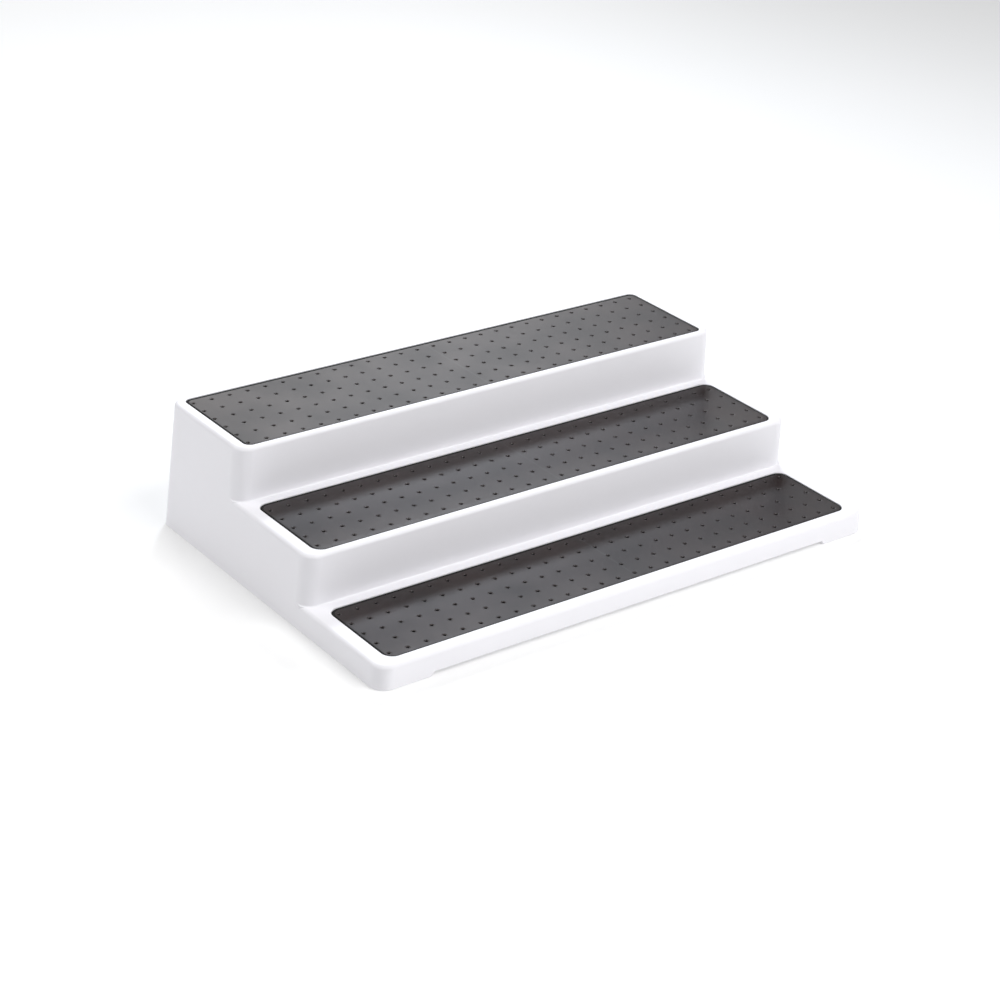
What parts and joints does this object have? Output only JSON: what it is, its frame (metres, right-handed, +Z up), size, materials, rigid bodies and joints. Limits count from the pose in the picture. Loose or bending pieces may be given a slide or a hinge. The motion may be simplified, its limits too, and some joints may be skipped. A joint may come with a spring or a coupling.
{
  "type": "tiered shelf riser",
  "caption": "Stepped cupboard riser: a hollow white plastic shell with soft grey non-slip mats set into its treads, to lift back rows of jars and cans into view.",
  "frame": {"origin": "centre of the footprint, on the surface that the riser stands on", "axes": "+X along the treads, +Y from the low front tier to the tall back tier, +Z up"},
  "size_m": [0.381, 0.241, 0.0843],
  "materials": {
    "white_plastic": "satin moulded polypropylene",
    "grey_mat": "satin thermoplastic rubber with a grid of dimples",
    "foot_rubber": "matt thermoplastic rubber"
  },
  "bodies": {
    "root": {"shell": "white_plastic", "bottom_mat": "grey_mat", "middle_mat": "grey_mat", "top_mat": "grey_mat", "front_left_foot_pad": "foot_rubber", "front_right_foot_pad": "foot_rubber", "rear_left_foot_pad": "foot_rubber", "rear_right_foot_pad": "foot_rubber"}
  },
  "joints": []
}
